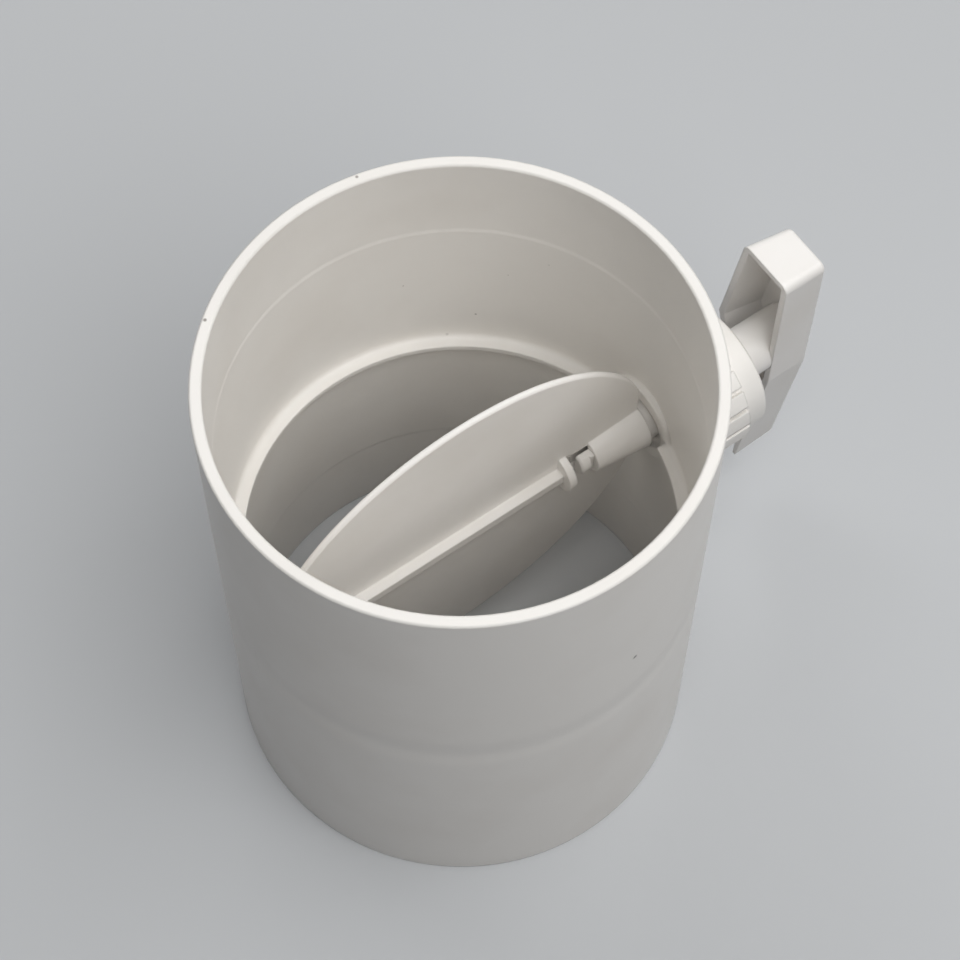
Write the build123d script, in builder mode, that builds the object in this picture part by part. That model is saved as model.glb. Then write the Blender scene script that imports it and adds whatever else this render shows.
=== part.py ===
# A round duct damper: a plastic pipe fitting with a butterfly blade inside
# and a hollow lever outside that turns it.
# Millimetres. Z is the duct's own axis, standing on its lower rim at z = 0.
# X is the axle, with the lever at +X, and -Y is the ribbed side of the blade.

from build123d import *
import math
import os

os.makedirs("parts", exist_ok=True)

# Driving dimensions of the duct
outer_diameter = 116.4
wall = 3.0                   # leaves a bore that takes a 110 mm vent pipe
duct_length = 148.0
mouth_depth = 25.5           # where the two mould cores' end zones begin
mouth_relief = 0.15          # how much wider the end zones are, on the radius
mouth_taper = 1.2            # the short slope inside of each end zone
rim_bevel = 0.4

# Driving dimensions of the blade
blade_wall_gap = 1.0         # from the disc's edge to the duct's wall
blade_thickness = 1.6
blade_offset = 0.4           # the blade's mid plane lies behind the axle's line
blade_lean = 2.0             # degrees off the duct's axis when the lever is upright
blade_flat_gap = 1.4         # from the blade's two flat ends to the bearing pads
blade_edge_bevel = 0.4
seat_height = 75.3           # mid plane of the closed blade

# Driving dimensions of the blade's rib, socket and window
rib_height = 2.65
rib_thickness = 3.5
socket_length = 15.0
socket_inner_radius = 5.4
socket_outer_radius = 7.1
window_length = 6.7
window_half_height = 4.2
end_disc_radius = 6.0
end_disc_thickness = 2.1

# Driving dimensions of the bearings
pad_edge_height = 0.435      # at the two places where the wall curves in most
pad_radius = 12.2
pad_root = 1.3               # how far a pad runs into the duct's wall
pad_bevel = 0.4
recess_radius = 8.4
recess_depth = 1.6
axle_play = 0.3              # sideways gap of the blade and of the lever
pin_radius = 4.0
pin_length = 2.0
turning_clearance = 0.08
pocket_end_gap = 0.3
journal_radius = 5.9
bearing_wall = 2.5

# Driving dimensions of the two stop ledges
ledge_width = 3.2
ledge_thickness = 1.8
ledge_slope = 0.8
ledge_end_radius = 10.4      # about the axle
seat_clearance = 0.3

# Driving dimensions of the outside boss
boss_length = 22.0
boss_radius = 16.4
boss_wall = 2.8
boss_floor = 2.5
boss_bevel = 0.5
tooth_zone = 15.7
tooth_height = 1.4
tooth_count = 19
groove_width = 1.3

# Driving dimensions of the lever
lever_gap = 9.1              # from the boss's end to the lever's open side
lever_depth = 12.2
lever_wall = 1.8
lever_top = 34.3             # above the axle
lever_tip = 56.7             # below the axle, on the open side
lever_near_side = 6.8
lever_far_top = 7.2
lever_far_bend = 12.2
lever_far_flare = 1.9        # the far side spreads towards the open side
lever_tip_flare = 3.5        # and so does the tip
lever_near_bend_drop = 8.8   # below the axle
lever_far_bend_drop = 1.7    # below the axle
lever_taper_side = 0.1       # where the far side meets the narrow tip
lever_taper_length = 10.7    # of that tip
lever_open_tip_half_width = 0.5
lever_closed_tip_half_width = 1.3
lever_hollow_side = 1.3      # where the lines of both long sides would cross
lever_hollow_end = 7.0       # above the tip
lever_corner_round = 2.2
lever_bend_round = 12.0
lever_tip_round = 0.4
lever_face_round = 1.0
lever_hub_radius = 6.7

# Driving dimensions of the lever's key and its snap head
key_width = 6.6
key_clearance = 0.05
snap_gap = 1.1               # from the socket's inner end to the head's shoulder
head_length = 2.8
head_radius = 4.2            # stands out past the key's two wide sides
head_nose = 0.5
split_width = 1.8
split_length = 13.0

# Worked out from the above
outer_radius = outer_diameter / 2
bore_radius = outer_radius - wall
blade_radius = bore_radius - blade_wall_gap
axle_height = seat_height + blade_offset
pad_face = math.sqrt(bore_radius**2 - pad_radius**2) - pad_edge_height
recess_floor = pad_face + recess_depth
blade_flat = pad_face - blade_flat_gap
shoulder_end = recess_floor - axle_play
journal_end = blade_flat + axle_play
socket_start = blade_flat - socket_length
window_start = socket_start - window_length
end_disc_start = window_start - end_disc_thickness
near_face = blade_thickness / 2 - blade_offset
far_face = near_face - blade_thickness
ledge_radius = bore_radius - ledge_width
ledge_root_radius = bore_radius + wall / 2
far_ledge_top = seat_height - blade_thickness / 2 - seat_clearance
near_ledge_bottom = seat_height + blade_thickness / 2 + seat_clearance
bearing_radius = journal_radius + turning_clearance
boss_end = outer_radius + boss_length
tooth_end = outer_radius + tooth_zone
tooth_radius = boss_radius + tooth_height
lever_open = boss_end + lever_gap
lever_closed = lever_open + lever_depth
lever_closed_tip = lever_tip - lever_tip_flare
head_shoulder = socket_start - snap_gap
head_tip = head_shoulder - head_length


def axle_plane(distance):
    """The plane square to the axle at this distance from the duct's centre."""
    return Plane(origin=(distance, 0, axle_height), x_dir=(0, 1, 0), z_dir=(1, 0, 0))


# The blade's own plane: through the axle's line, facing the ribbed side.
lean = math.radians(blade_lean)
blade_plane = Plane(
    origin=(0, 0, axle_height),
    x_dir=(1, 0, 0),
    z_dir=(0, -math.cos(lean), -math.sin(lean)),
)


def blade_section(distance):
    """The plane square to the axle, turned with the blade."""
    return Plane(
        origin=(distance, 0, axle_height),
        x_dir=(0, math.cos(lean), math.sin(lean)),
        z_dir=(1, 0, 0),
    )


# Duct body: the tube, both bearings, the stop ledges and the outside boss,
# moulded in one.
with BuildPart() as duct_body:
    # The boss starts solid, its broad teeth divided by narrow grooves.
    with BuildSketch(axle_plane(0)):
        Circle(boss_radius)
    extrude(amount=boss_end)
    chamfer(duct_body.edges().group_by(Axis.X)[-1], length=boss_bevel)
    tooth_pitch = 360 / tooth_count
    with BuildSketch(axle_plane(0)):
        Circle(tooth_radius)
        with PolarLocations(tooth_radius, tooth_count, start_angle=90 + tooth_pitch / 2):
            Rectangle(2 * tooth_height, groove_width, mode=Mode.SUBTRACT)
    extrude(amount=tooth_end)

    # The tube, bored through, with its end zones a touch wider.
    with BuildSketch(Plane.XY):
        Circle(outer_radius)
    extrude(amount=duct_length)
    with BuildSketch(Plane.XY):
        Circle(bore_radius)
    extrude(amount=duct_length, mode=Mode.SUBTRACT)
    with BuildSketch(Plane.XY, Plane.XY.offset(duct_length - mouth_depth)):
        Circle(bore_radius + mouth_relief)
    extrude(amount=mouth_depth, mode=Mode.SUBTRACT)
    with BuildSketch(Plane.XY.offset(mouth_depth)):
        Circle(bore_radius + mouth_relief)
    with BuildSketch(Plane.XY.offset(mouth_depth + mouth_taper)):
        Circle(bore_radius)
    loft(ruled=True, mode=Mode.SUBTRACT)
    with BuildSketch(Plane.XY.offset(duct_length - mouth_depth - mouth_taper)):
        Circle(bore_radius)
    with BuildSketch(Plane.XY.offset(duct_length - mouth_depth)):
        Circle(bore_radius + mouth_relief)
    loft(ruled=True, mode=Mode.SUBTRACT)
    rims = duct_body.edges().filter_by(GeomType.CIRCLE).filter_by(
        lambda edge: edge.center().Z < rim_bevel or edge.center().Z > duct_length - rim_bevel
    )
    chamfer(rims, length=rim_bevel)

    # A round pad inside the wall at each end of the axle.
    with BuildSketch(axle_plane(pad_face)):
        Circle(pad_radius)
    extrude(amount=bore_radius + pad_root - pad_face)
    with BuildSketch(axle_plane(-pad_face)):
        Circle(pad_radius)
    extrude(amount=pad_face - bore_radius - pad_root)
    pad_rims = duct_body.edges().filter_by(GeomType.CIRCLE).filter_by(
        lambda edge: abs(edge.radius - pad_radius) < pad_bevel and abs(edge.center().X) < bore_radius
    )
    chamfer(pad_rims, length=pad_bevel)

    # Half-round ledges: one behind the axle under the closed blade, and one in
    # front of it over the closed blade. A short slope joins each to the wall.
    for start, bottom in ((1, far_ledge_top - ledge_thickness), (-1, near_ledge_bottom)):
        with BuildSketch(Plane(origin=(0, 0, bottom), x_dir=(start, 0, 0), z_dir=(0, -start, 0))):
            with BuildLine():
                Polyline(
                    (bore_radius, ledge_thickness + ledge_slope),
                    (ledge_root_radius, ledge_thickness + ledge_slope),
                    (ledge_root_radius, 0),
                    (ledge_radius, 0),
                    (ledge_radius, ledge_thickness),
                    (bore_radius - ledge_slope, ledge_thickness),
                    close=True,
                )
            make_face()
        revolve(axis=Axis.Z, revolution_arc=180)

    # The ledges stop short of the axle, and a round recess lies there in each pad.
    with BuildSketch(axle_plane(0)):
        Circle(ledge_end_radius)
    extrude(amount=pad_face, both=True, mode=Mode.SUBTRACT)
    with BuildSketch(axle_plane(0)):
        Circle(recess_radius)
    extrude(amount=recess_floor, both=True, mode=Mode.SUBTRACT)

    # The blind pocket for the blade's pin.
    with BuildSketch(axle_plane(-recess_floor)):
        Circle(pin_radius + turning_clearance)
    extrude(amount=axle_play - pin_length - pocket_end_gap, mode=Mode.SUBTRACT)

    # The long bearing, left standing inside the hollowed boss.
    with BuildSketch(axle_plane(boss_end)):
        Circle(boss_radius - boss_wall)
        Circle(bearing_radius + bearing_wall, mode=Mode.SUBTRACT)
    extrude(amount=boss_floor - boss_length, mode=Mode.SUBTRACT)
    with BuildSketch(axle_plane(recess_floor)):
        Circle(bearing_radius)
    extrude(amount=boss_end - recess_floor, mode=Mode.SUBTRACT)

# Blade: the disc with its rib, its key socket and its pin, moulded in one.
with BuildPart() as blade:
    # The disc, cut flat where it passes the bearing pads.
    with BuildSketch(blade_plane.offset(far_face)):
        Circle(blade_radius)
        Rectangle(2 * blade_flat, 2 * blade_radius, mode=Mode.INTERSECT)
    extrude(amount=blade_thickness)
    chamfer(blade.edges(), length=blade_edge_bevel)

    # Tapered round ends on the axle, the one at +X holding the key.
    with BuildSketch(blade_section(socket_start)):
        Circle(socket_inner_radius)
    with BuildSketch(blade_section(blade_flat)):
        Circle(socket_outer_radius)
    loft(ruled=True)
    with BuildSketch(blade_section(-blade_flat)):
        Circle(socket_outer_radius)
    with BuildSketch(blade_section(-socket_start)):
        Circle(socket_inner_radius)
    loft(ruled=True)

    # The shoulder and the pin at -X.
    with BuildSketch(blade_section(-blade_flat)):
        Circle(journal_radius)
    extrude(amount=blade_flat - shoulder_end)
    with BuildSketch(blade_section(-shoulder_end)):
        Circle(pin_radius)
    extrude(amount=-pin_length)

    # The disc across the axle that closes off the window.
    with BuildSketch(blade_section(end_disc_start)):
        Circle(end_disc_radius)
    extrude(amount=end_disc_thickness)

    # The stiffening rib along the axle.
    with BuildSketch(blade_plane.offset(near_face)):
        with Locations((-socket_start, 0)):
            Rectangle(
                socket_start + end_disc_start + end_disc_thickness / 2,
                rib_thickness,
                align=(Align.MIN, Align.CENTER),
            )
    extrude(amount=rib_height)

    # The window round the lever's snap head.
    with BuildSketch(blade_plane.offset(far_face)):
        with Locations((window_start, 0)):
            Rectangle(window_length, 2 * window_half_height, align=(Align.MIN, Align.CENTER))
    extrude(amount=blade_thickness, mode=Mode.SUBTRACT)

    # The square key way.
    with BuildSketch(blade_section(socket_start)):
        Rectangle(key_width + 2 * key_clearance, key_width + 2 * key_clearance)
    extrude(amount=socket_length, mode=Mode.SUBTRACT)


def outside_corners(far_flare, tip_flare, tip_half_width):
    """The lever's corner points, seen along the axle and counted from the axle."""
    tip = -lever_closed_tip - tip_flare
    return [
        (-lever_near_side, lever_top),
        (lever_far_top + far_flare, lever_top),
        (lever_far_bend + far_flare, -lever_far_bend_drop),
        (-lever_taper_side, tip + lever_taper_length),
        (tip_half_width, tip),
        (-tip_half_width, tip),
        (-lever_near_side, -lever_near_bend_drop),
    ]


def hollow_corners(far_flare, tip_flare):
    """The same for the lever's hollow, before the wall is taken off."""
    return [
        (-lever_near_side, lever_top),
        (lever_far_top + far_flare, lever_top),
        (lever_far_bend + far_flare, -lever_far_bend_drop),
        (-lever_hollow_side, lever_hollow_end - lever_closed_tip - tip_flare),
        (-lever_near_side, -lever_near_bend_drop),
    ]


# Lever: the hollow handle with its shaft, its key and its snap head, in one.
with BuildPart() as lever_handle:
    # The handle's outside, spreading a little towards its open side.
    with BuildSketch(axle_plane(lever_open)) as open_outline:
        with BuildLine():
            Polyline(
                *outside_corners(lever_far_flare, lever_tip_flare, lever_open_tip_half_width),
                close=True,
            )
        make_face()
        rows = open_outline.vertices().group_by(Axis.Y)
        fillet(rows[-1], radius=lever_corner_round)
        fillet(rows[1] + rows[2] + rows[3], radius=lever_bend_round)
        fillet(rows[0], radius=lever_tip_round)
    with BuildSketch(axle_plane(lever_closed)) as closed_outline:
        with BuildLine():
            Polyline(*outside_corners(0, 0, lever_closed_tip_half_width), close=True)
        make_face()
        rows = closed_outline.vertices().group_by(Axis.Y)
        fillet(rows[-1], radius=lever_corner_round)
        fillet(rows[1] + rows[2] + rows[3], radius=lever_bend_round)
        fillet(rows[0], radius=lever_tip_round)
    loft(ruled=True)
    fillet(lever_handle.faces().sort_by(Axis.X)[-1].edges(), radius=lever_face_round)

    # The hollow inside it.
    with BuildSketch(axle_plane(lever_open)):
        with BuildLine():
            Polyline(*hollow_corners(lever_far_flare, lever_tip_flare), close=True)
        make_face()
        offset(amount=-lever_wall, kind=Kind.INTERSECTION)
    with BuildSketch(axle_plane(lever_closed - lever_wall)):
        with BuildLine():
            Polyline(*hollow_corners(0, 0), close=True)
        make_face()
        offset(amount=-lever_wall, kind=Kind.INTERSECTION)
    loft(ruled=True, mode=Mode.SUBTRACT)

    # The hub, the bearing journal and the square key.
    with BuildSketch(axle_plane(lever_closed - lever_wall)):
        Circle(lever_hub_radius)
    extrude(amount=boss_end + axle_play - lever_closed + lever_wall)
    with BuildSketch(axle_plane(boss_end + axle_play)):
        Circle(journal_radius)
    extrude(amount=journal_end - boss_end - axle_play)
    with BuildSketch(blade_section(journal_end)):
        Rectangle(key_width, key_width)
    extrude(amount=head_shoulder - journal_end)

    # The snap head, split so that it can spring through the socket.
    with BuildSketch(blade_section(head_shoulder)):
        Circle(head_radius)
        Rectangle(2 * head_radius, key_width, mode=Mode.INTERSECT)
    extrude(amount=-head_length)
    chamfer(lever_handle.edges().group_by(Axis.X)[0], length=head_nose)
    with BuildSketch(blade_section(head_tip)):
        Rectangle(split_width, 2 * head_radius)
    extrude(amount=split_length, mode=Mode.SUBTRACT)

duct_body.part.label = "duct_body"
blade.part.label = "blade"
lever_handle.part.label = "lever_handle"
export_step(duct_body.part, "parts/duct_body.step")
export_step(blade.part, "parts/blade.step")
export_step(lever_handle.part, "parts/lever_handle.step")
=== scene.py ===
"""Round duct damper: the plastics, the studio stage and the camera.

model.glb gives the exact solids. This file dresses them in moulded white
plastic and sets them on a plain pale floor, as a Blender add-on whose
operators can also be pressed one by one.
"""

import math

import bpy
from bpy.props import FloatProperty, FloatVectorProperty, PointerProperty
from bpy.types import Operator, Panel, PropertyGroup
from mathutils import Matrix, Vector

bl_info = {
    "name": "Round Duct Damper",
    "version": (1, 0, 0),
    "blender": (4, 5, 0),
    "location": "3D View > Sidebar > Damper",
    "description": "Dresses a round duct damper in moulded plastic on a studio stage",
    "category": "Object",
}

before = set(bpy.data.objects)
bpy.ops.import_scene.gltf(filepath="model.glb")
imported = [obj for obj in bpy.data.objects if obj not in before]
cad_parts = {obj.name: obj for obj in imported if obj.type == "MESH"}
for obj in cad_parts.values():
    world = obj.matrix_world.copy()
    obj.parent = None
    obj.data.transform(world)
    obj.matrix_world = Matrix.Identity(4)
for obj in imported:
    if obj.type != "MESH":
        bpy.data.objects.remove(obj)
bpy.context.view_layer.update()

MM = 0.001

# Where the stop ledges stand behind the duct's wall, which shrinks a little
# over each of them as it cools: height in mm of the two shallow rings outside.
NEAR_SINK_HEIGHT = 77.3
FAR_SINK_HEIGHT = 73.3
SINK_WIDTH = 3.7

# Where the stop ledges grow out of the bore with a soft corner, in mm: its distance
# from the duct's axis and its height, each with how far from there the corner is at
# its full radius and where it has shrunk to a plain edge.
ROOT_RADIUS = 54.9
ROOT_RADIUS_FULL = 1.3
ROOT_RADIUS_GONE = 2.2
ROOT_HEIGHT = 75.3
ROOT_HEIGHT_FULL = 6.0
ROOT_HEIGHT_GONE = 9.0

# How high the skin's slow waves and its fine grain stand, in mm.
WAVE_HEIGHT = 0.10
GRAIN_HEIGHT = 0.006

# How far handling makes the roughness vary, to each side.
POLISHED = 0.05
WORN = 0.07

# Dirt on the duct: radius, angle from the axle in degrees, height and size, in mm,
# and how well it covers the plastic.
DUCT_SPECKS = (
    (58.2, -83.1, 99.0, 0.80, 0.85),
    (57.2, 78.7, 148.0, 0.50, 0.70),
    (57.3, 129.7, 148.0, 0.55, 0.80),
    (55.2, 51.1, 84.6, 0.40, 0.60),
    (55.2, 58.5, 75.1, 0.55, 0.25),
    (55.3, 43.0, 104.2, 0.25, 0.60),
    (55.3, 32.7, 113.2, 0.25, 0.60),
    (55.3, 69.4, 100.3, 0.30, 0.60),
)
SPECK_CORE = 0.4  # the share of a speck that covers fully, before its soft edge

# The soft square lamps: place and width in metres, and the setting with the power.
LAMPS = (
    ("key_lamp", (0.06, -0.60, 1.22), 1.0, "key_power"),
    ("side_lamp", (0.75, -0.05, 1.05), 0.8, "side_power"),
    ("back_lamp", (0.12, 0.85, 0.95), 0.9, "back_power"),
)
LAMP_TARGET = (0, 0, 0.08)

# The photograph's view: the camera's place in mm, its right and up directions, and
# its lens and film width in mm.
CAMERA_PLACE = (-154.9, -222.8, 620.1)
CAMERA_RIGHT = (0.815967, -0.578085, 0.003951)
CAMERA_UP = (0.510669, 0.723978, 0.463762)
CAMERA_LENS = 95.30
CAMERA_FILM = 36.0


def linear(colour):
    """An sRGB hex colour as linear red, green, blue and full alpha."""
    levels = [int(colour[place : place + 2], 16) / 255 for place in (1, 3, 5)]
    return [v / 12.92 if v <= 0.04045 else ((v + 0.055) / 1.055) ** 2.4 for v in levels] + [1.0]


def add_node(owner, kind, settings=None, links=None):
    """Add a node to a material or world: set its attributes and its numbered or named
    inputs, and link its inputs."""
    node = owner.node_tree.nodes.new(kind)
    for name, value in (settings or {}).items():
        if isinstance(name, str) and hasattr(node, name):
            setattr(node, name, value)
        else:
            node.inputs[name].default_value = value
    for name, source in (links or {}).items():
        owner.node_tree.links.new(source, node.inputs[name])
    return node


def blank_material(name):
    """A material with an empty node tree."""
    material = bpy.data.materials.new(name)
    material.use_nodes = True
    material.node_tree.nodes.clear()
    return material


class DamperPlasticSettings(PropertyGroup):
    """What the moulded plastic looks like."""

    body_colour: FloatVectorProperty(
        name="Duct colour",
        description="Colour of the duct's plastic",
        subtype="COLOR",
        size=4,
        min=0,
        max=1,
        default=linear("#F8F5F0"),
    )
    inner_colour: FloatVectorProperty(
        name="Blade and lever colour",
        description="Colour of the blade's and the lever's plastic",
        subtype="COLOR",
        size=4,
        min=0,
        max=1,
        default=linear("#F9F6F2"),
    )
    shade_colour: FloatVectorProperty(
        name="Cloud colour",
        description="Colour of the faint clouds where the pigment is thinner",
        subtype="COLOR",
        size=4,
        min=0,
        max=1,
        default=linear("#F1EDE7"),
    )
    speck_colour: FloatVectorProperty(
        name="Dirt colour",
        description="Colour of the small specks of dirt",
        subtype="COLOR",
        size=4,
        min=0,
        max=1,
        default=linear("#6F665C"),
    )
    roughness: FloatProperty(
        name="Roughness",
        description="How far the moulded skin blurs what it reflects",
        default=0.36,
        min=0,
        max=1,
        subtype="FACTOR",
    )
    cloud_size: FloatProperty(
        name="Cloud size",
        description="How far apart the faint colour clouds lie",
        default=34 * MM,
        min=MM,
        unit="LENGTH",
    )
    wave_size: FloatProperty(
        name="Wave size",
        description="How far apart the slow waves of the moulded skin lie",
        default=16 * MM,
        min=MM,
        unit="LENGTH",
    )
    grain_size: FloatProperty(
        name="Grain size",
        description="How far apart the mould's fine grain lies",
        default=0.9 * MM,
        min=0.1 * MM,
        unit="LENGTH",
    )
    edge_radius: FloatProperty(
        name="Edge radius",
        description="How far the mould's worn corners soften each edge of the skin",
        default=0.7 * MM,
        min=0,
        unit="LENGTH",
    )
    root_radius: FloatProperty(
        name="Root radius",
        description="Radius of the soft corner between the bore and its stop ledges",
        default=2.2 * MM,
        min=0,
        unit="LENGTH",
    )
    sink_depth: FloatProperty(
        name="Sink depth",
        description="How deep the wall sinks outside each stop ledge",
        default=0.23 * MM,
        min=0,
        unit="LENGTH",
    )


class DamperStageSettings(PropertyGroup):
    """The floor, the lamps and the camera."""

    floor_colour: FloatVectorProperty(
        name="Floor colour",
        description="Colour of the plain floor",
        subtype="COLOR",
        size=4,
        min=0,
        max=1,
        default=linear("#C9CBCD"),
    )
    bounce_colour: FloatVectorProperty(
        name="Bounce colour",
        description="Colour of the light that the floor throws back",
        subtype="COLOR",
        size=4,
        min=0,
        max=1,
        default=linear("#6D6E71"),
    )
    backdrop_colour: FloatVectorProperty(
        name="Backdrop colour",
        description="Colour seen behind the floor",
        subtype="COLOR",
        size=4,
        min=0,
        max=1,
        default=linear("#C6C8CA"),
    )
    floor_radius: FloatProperty(
        name="Floor radius",
        description="Radius of the round floor",
        default=4.0,
        min=0.5,
        unit="LENGTH",
    )
    fade_start: FloatProperty(
        name="Fade start",
        description="Distance from the damper at which the floor starts to turn into the backdrop",
        default=0.35,
        min=0,
        unit="LENGTH",
    )
    fade_end: FloatProperty(
        name="Fade end",
        description="Distance from the damper at which the floor has turned into the backdrop",
        default=1.5,
        min=0,
        unit="LENGTH",
    )
    room_light: FloatProperty(
        name="Room light",
        description="Strength of the even light from all round",
        default=0.18,
        min=0,
    )
    key_power: FloatProperty(
        name="Key power",
        description="Power of the large soft lamp high in front, in watts",
        default=10.2,
        min=0,
    )
    side_power: FloatProperty(
        name="Side power",
        description="Power of the soft lamp at the right, in watts",
        default=2.7,
        min=0,
    )
    back_power: FloatProperty(
        name="Back power",
        description="Power of the soft lamp behind, in watts",
        default=3.8,
        min=0,
    )


def colour_clouds(material, place, base, shade, size):
    """Slow clouds between two close colours."""
    noise = add_node(
        material,
        "ShaderNodeTexNoise",
        {"Scale": 1 / size, "Detail": 3.0, "Roughness": 0.5},
        {"Vector": place},
    )
    ramp = add_node(
        material,
        "ShaderNodeMapRange",
        {"From Min": 0.45, "From Max": 0.75, "To Min": 0.0, "To Max": 0.8},
        {"Value": noise.outputs["Fac"]},
    )
    mix = add_node(
        material,
        "ShaderNodeMix",
        {"data_type": "RGBA", 6: base, 7: shade},
        {0: ramp.outputs[0]},
    )
    return mix.outputs[2]


def dirt_specks(material, place, colour, specks, dirt):
    """Small soft-edged specks at their own places on the surface."""
    for radius, angle, height, size, strength in specks:
        turn = math.radians(angle)
        spot = Vector((radius * math.cos(turn), radius * math.sin(turn), height)) * MM
        away = add_node(
            material,
            "ShaderNodeVectorMath",
            {"operation": "DISTANCE", 1: spot},
            {0: place},
        )
        cover = add_node(
            material,
            "ShaderNodeMapRange",
            {
                "From Min": SPECK_CORE * size * MM,
                "From Max": size * MM,
                "To Min": strength,
                "To Max": 0.0,
            },
            {"Value": away.outputs["Value"]},
        )
        mix = add_node(
            material,
            "ShaderNodeMix",
            {"data_type": "RGBA", 7: dirt},
            {0: cover.outputs[0], 6: colour},
        )
        colour = mix.outputs[2]
    return colour


def sink_rings(material, place, depth):
    """How deep the wall has sunk, in metres: a ring on each side of the axle."""
    axes = add_node(material, "ShaderNodeSeparateXYZ", links={0: place})
    behind = add_node(
        material,
        "ShaderNodeMath",
        {"operation": "GREATER_THAN", 1: 0.0},
        {0: axes.outputs["Y"]},
    )
    ring_height = add_node(
        material,
        "ShaderNodeMapRange",
        {"To Min": NEAR_SINK_HEIGHT * MM, "To Max": FAR_SINK_HEIGHT * MM},
        {"Value": behind.outputs[0]},
    )
    above = add_node(
        material,
        "ShaderNodeMath",
        {"operation": "SUBTRACT"},
        {0: axes.outputs["Z"], 1: ring_height.outputs[0]},
    )
    distance = add_node(
        material, "ShaderNodeMath", {"operation": "ABSOLUTE"}, {0: above.outputs[0]}
    )
    sunk = add_node(
        material,
        "ShaderNodeMapRange",
        {
            "interpolation_type": "SMOOTHSTEP",
            "From Min": 0.0,
            "From Max": 2 * SINK_WIDTH * MM,
            "To Min": -depth,
            "To Max": 0.0,
        },
        {"Value": distance.outputs[0]},
    )
    return sunk.outputs[0]


def near_value(material, value, middle, full, gone):
    """One while value is within full of middle, fading to zero at gone, all in mm."""
    offset = add_node(
        material, "ShaderNodeMath", {"operation": "SUBTRACT", 1: middle * MM}, {0: value}
    )
    distance = add_node(
        material, "ShaderNodeMath", {"operation": "ABSOLUTE"}, {0: offset.outputs[0]}
    )
    fade = add_node(
        material,
        "ShaderNodeMapRange",
        {"From Min": full * MM, "From Max": gone * MM, "To Min": 1.0, "To Max": 0.0},
        {"Value": distance.outputs[0]},
    )
    return fade.outputs[0]


def ledge_roots(material, place, edge, root):
    """The corner radius in metres: root where the ledges meet the bore, else edge."""
    flat = add_node(
        material,
        "ShaderNodeVectorMath",
        {"operation": "MULTIPLY", 1: (1.0, 1.0, 0.0)},
        {0: place},
    )
    radius = add_node(
        material, "ShaderNodeVectorMath", {"operation": "LENGTH"}, {0: flat.outputs[0]}
    )
    axes = add_node(material, "ShaderNodeSeparateXYZ", links={0: place})
    beside = near_value(
        material, radius.outputs["Value"], ROOT_RADIUS, ROOT_RADIUS_FULL, ROOT_RADIUS_GONE
    )
    level = near_value(
        material, axes.outputs["Z"], ROOT_HEIGHT, ROOT_HEIGHT_FULL, ROOT_HEIGHT_GONE
    )
    both = add_node(material, "ShaderNodeMath", {"operation": "MULTIPLY"}, {0: beside, 1: level})
    corner = add_node(
        material,
        "ShaderNodeMapRange",
        {"To Min": edge, "To Max": root},
        {"Value": both.outputs[0]},
    )
    return corner.outputs[0]


def moulded_plastic(name, colour, settings, specks=(), ledges=False):
    """The plastic of one piece, with its specks, and with the soft roots and the sink
    rings of the stop ledges where the piece has them."""
    # White ABS, injection moulded in a polished steel tool: a soft satin gloss that
    # rolls over slow waves, faint clouds in the white, and a grain as fine as skin.
    material = blank_material(name)
    place = add_node(material, "ShaderNodeTexCoord").outputs["Object"]
    skin = colour_clouds(material, place, colour, settings.shade_colour, settings.cloud_size)
    skin = dirt_specks(material, place, skin, specks, settings.speck_colour)

    # No moulded corner is sharp: the light rolls round each one.
    edges = add_node(material, "ShaderNodeBevel", {"samples": 6, "Radius": settings.edge_radius})
    if ledges:
        roots = ledge_roots(material, place, settings.edge_radius, settings.root_radius)
        material.node_tree.links.new(roots, edges.inputs["Radius"])

    # The waves and the grain, as heights in metres.
    waves = add_node(
        material,
        "ShaderNodeTexNoise",
        {"Scale": 1 / settings.wave_size, "Detail": 1.0},
        {"Vector": place},
    )
    grain = add_node(
        material,
        "ShaderNodeTexNoise",
        {"Scale": 1 / settings.grain_size, "Detail": 2.0},
        {"Vector": place},
    )
    slow = add_node(
        material,
        "ShaderNodeBump",
        {"Strength": 1.0, "Distance": WAVE_HEIGHT * MM},
        {"Height": waves.outputs["Fac"], "Normal": edges.outputs[0]},
    )
    fine = add_node(
        material,
        "ShaderNodeBump",
        {"Strength": 1.0, "Distance": GRAIN_HEIGHT * MM},
        {"Height": grain.outputs["Fac"], "Normal": slow.outputs[0]},
    )
    normal = fine.outputs[0]
    if ledges:
        sunk = add_node(
            material,
            "ShaderNodeBump",
            {"Strength": 1.0, "Distance": 1.0},
            {
                "Height": sink_rings(material, place, settings.sink_depth),
                "Normal": normal,
            },
        )
        normal = sunk.outputs[0]

    # Handling leaves the gloss uneven by a few hundredths.
    polish = add_node(
        material,
        "ShaderNodeMapRange",
        {"To Min": settings.roughness - POLISHED, "To Max": settings.roughness + WORN},
        {"Value": waves.outputs["Fac"]},
    )
    surface = add_node(
        material,
        "ShaderNodeBsdfPrincipled",
        {"IOR": 1.53},
        {"Base Color": skin, "Roughness": polish.outputs[0], "Normal": normal},
    )
    add_node(material, "ShaderNodeOutputMaterial", links={"Surface": surface.outputs[0]})
    return material


def dress(node, material):
    """Give every material slot of a CAD node this material."""
    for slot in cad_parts[node].material_slots:
        slot.material = material


class DAMPER_OT_duct_body(Operator):
    """Finish the duct with its bearings, stop ledges and toothed boss"""

    bl_idname = "damper.duct_body"
    bl_label = "Duct Body"

    def execute(self, context):
        settings = context.scene.damper_plastic
        plastic = moulded_plastic(
            "white_abs_moulded_duct", settings.body_colour, settings, DUCT_SPECKS, ledges=True
        )
        dress("duct_body", plastic)
        return {"FINISHED"}


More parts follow.
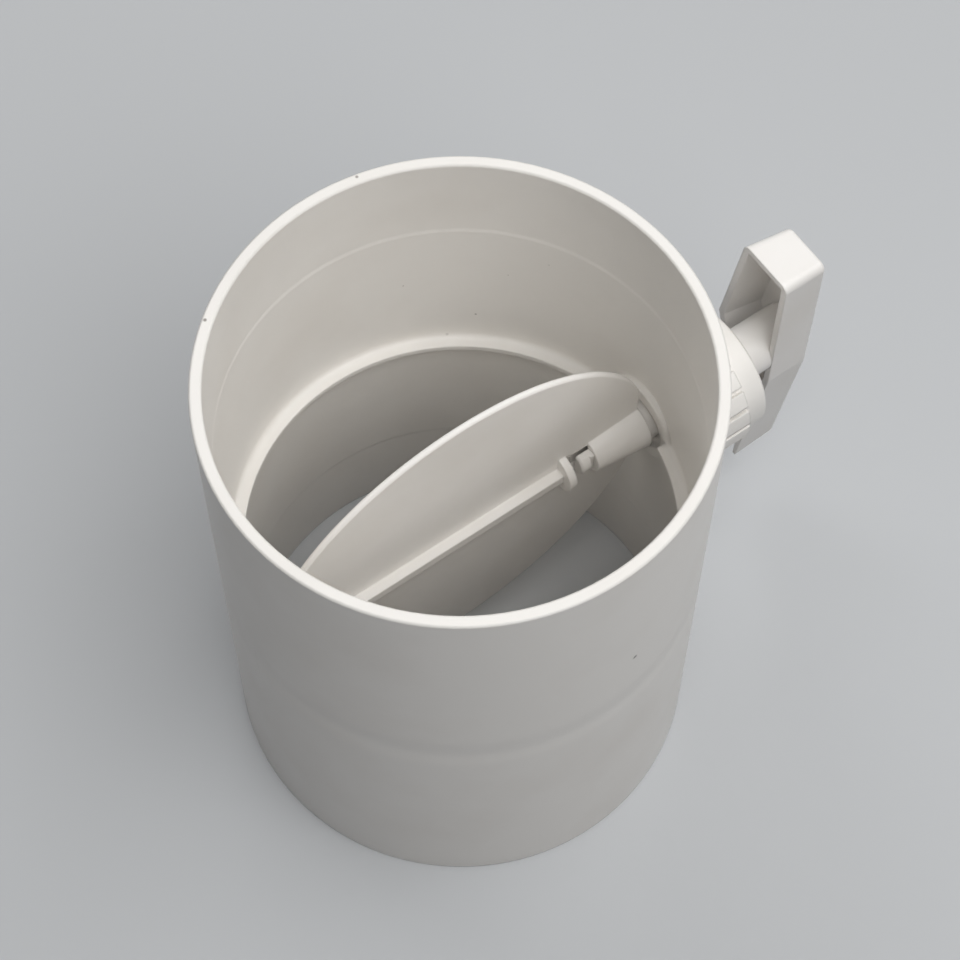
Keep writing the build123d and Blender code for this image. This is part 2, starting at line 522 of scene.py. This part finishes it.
class DAMPER_OT_blade(Operator):
    """Finish the blade that opens and closes the air path"""

    bl_idname = "damper.blade"
    bl_label = "Blade"

    def execute(self, context):
        settings = context.scene.damper_plastic
        plastic = moulded_plastic("white_abs_moulded_blade", settings.inner_colour, settings)
        dress("blade", plastic)
        return {"FINISHED"}


class DAMPER_OT_lever(Operator):
    """Finish the hollow lever that turns the blade"""

    bl_idname = "damper.lever"
    bl_label = "Lever"

    def execute(self, context):
        settings = context.scene.damper_plastic
        plastic = moulded_plastic("white_abs_moulded_lever", settings.inner_colour, settings)
        dress("lever_handle", plastic)
        return {"FINISHED"}


def seen_ray(owner):
    """One for a ray from the camera, from a gloss or through a clear solid, else zero."""
    path = add_node(owner, "ShaderNodeLightPath")
    seen = add_node(
        owner,
        "ShaderNodeMath",
        {"operation": "MAXIMUM"},
        {0: path.outputs["Is Camera Ray"], 1: path.outputs["Is Glossy Ray"]},
    )
    shown = add_node(
        owner,
        "ShaderNodeMath",
        {"operation": "MAXIMUM"},
        {0: seen.outputs[0], 1: path.outputs["Is Transmission Ray"]},
    )
    return shown.outputs[0]


def add_floor(settings):
    """A large plain round floor under the damper, which turns into the backdrop far out."""
    material = blank_material("matt_painted_floor")
    seen = seen_ray(material)
    colour = add_node(
        material,
        "ShaderNodeMix",
        {"data_type": "RGBA", 6: settings.bounce_colour, 7: settings.floor_colour},
        {0: seen},
    )
    surface = add_node(
        material,
        "ShaderNodeBsdfPrincipled",
        {"Roughness": 0.85, "Specular IOR Level": 0.2},
        {"Base Color": colour.outputs[2]},
    )
    place = add_node(material, "ShaderNodeTexCoord").outputs["Object"]
    away = add_node(material, "ShaderNodeVectorMath", {"operation": "LENGTH"}, {0: place})
    fade = add_node(
        material,
        "ShaderNodeMapRange",
        {
            "interpolation_type": "SMOOTHSTEP",
            "From Min": settings.fade_start,
            "From Max": settings.fade_end,
        },
        {"Value": away.outputs["Value"]},
    )
    far = add_node(
        material, "ShaderNodeMath", {"operation": "MULTIPLY"}, {0: fade.outputs[0], 1: seen}
    )
    plain = add_node(
        material, "ShaderNodeEmission", {"Color": settings.backdrop_colour, "Strength": 1.0}
    )
    mix = add_node(
        material,
        "ShaderNodeMixShader",
        links={0: far.outputs[0], 1: surface.outputs[0], 2: plain.outputs[0]},
    )
    add_node(material, "ShaderNodeOutputMaterial", links={"Surface": mix.outputs[0]})
    bpy.ops.mesh.primitive_circle_add(vertices=96, radius=settings.floor_radius, fill_type="NGON")
    floor = bpy.context.object
    floor.name = "floor"
    floor.data.materials.append(material)


def light_room(scene, settings):
    """Even light from all round, with the plain backdrop where it is seen or reflected."""
    world = bpy.data.worlds.new("studio")
    world.use_nodes = True
    world.node_tree.nodes.clear()
    scene.world = world
    dome = add_node(
        world,
        "ShaderNodeBackground",
        {"Color": linear("#FFFFFF"), "Strength": settings.room_light},
    )
    backdrop = add_node(
        world,
        "ShaderNodeBackground",
        {"Color": settings.backdrop_colour, "Strength": 1.0},
    )
    mix = add_node(
        world,
        "ShaderNodeMixShader",
        links={0: seen_ray(world), 1: dome.outputs[0], 2: backdrop.outputs[0]},
    )
    add_node(world, "ShaderNodeOutputWorld", links={"Surface": mix.outputs[0]})


def add_lamp(name, place, width, power):
    """A square soft lamp at place, turned to the damper's middle."""
    lamp = bpy.data.lights.new(name, "AREA")
    lamp.size = width
    lamp.energy = power
    holder = bpy.data.objects.new(name, lamp)
    holder.location = place
    aim = Vector(LAMP_TARGET) - Vector(place)
    holder.rotation_euler = aim.to_track_quat("-Z", "Y").to_euler()
    bpy.context.collection.objects.link(holder)


def add_camera(scene):
    """The photograph's view, steeply down into the open mouth."""
    camera = bpy.data.objects.new("camera", bpy.data.cameras.new("camera"))
    camera.data.lens = CAMERA_LENS
    camera.data.sensor_width = CAMERA_FILM
    camera.data.clip_start = 0.01
    right = Vector(CAMERA_RIGHT)
    up = Vector(CAMERA_UP)
    turn = Matrix((right, up, right.cross(up))).transposed().to_4x4()
    camera.matrix_world = Matrix.Translation(Vector(CAMERA_PLACE) * MM) @ turn
    bpy.context.collection.objects.link(camera)
    scene.camera = camera


class DAMPER_OT_stage(Operator):
    """Set the floor, the room's light, the lamps and the camera"""

    bl_idname = "damper.stage"
    bl_label = "Stage"

    def execute(self, context):
        scene = context.scene
        settings = scene.damper_stage
        scene.view_settings.view_transform = "Standard"
        add_floor(settings)
        light_room(scene, settings)
        for name, place, width, power in LAMPS:
            add_lamp(name, place, width, getattr(settings, power))
        add_camera(scene)
        return {"FINISHED"}


class DAMPER_PT_panel(Panel):
    """The damper's pieces, its plastic and its stage"""

    bl_idname = "DAMPER_PT_panel"
    bl_label = "Round Duct Damper"
    bl_space_type = "VIEW_3D"
    bl_region_type = "UI"
    bl_category = "Damper"

    def draw(self, context):
        layout = self.layout
        for piece in PIECES:
            layout.operator(piece.bl_idname)
        for settings in (context.scene.damper_plastic, context.scene.damper_stage):
            box = layout.box()
            for name in settings.__annotations__:
                box.prop(settings, name)


PIECES = (DAMPER_OT_duct_body, DAMPER_OT_blade, DAMPER_OT_lever, DAMPER_OT_stage)
CLASSES = (DamperPlasticSettings, DamperStageSettings, *PIECES, DAMPER_PT_panel)


def register():
    for kind in CLASSES:
        bpy.utils.register_class(kind)
    bpy.types.Scene.damper_plastic = PointerProperty(type=DamperPlasticSettings)
    bpy.types.Scene.damper_stage = PointerProperty(type=DamperStageSettings)


def unregister():
    del bpy.types.Scene.damper_stage
    del bpy.types.Scene.damper_plastic
    for kind in reversed(CLASSES):
        bpy.utils.unregister_class(kind)


def main():
    """Build everything in order."""
    register()
    bpy.ops.damper.duct_body()
    bpy.ops.damper.blade()
    bpy.ops.damper.lever()
    bpy.ops.damper.stage()


if __name__ == "__main__":
    main()
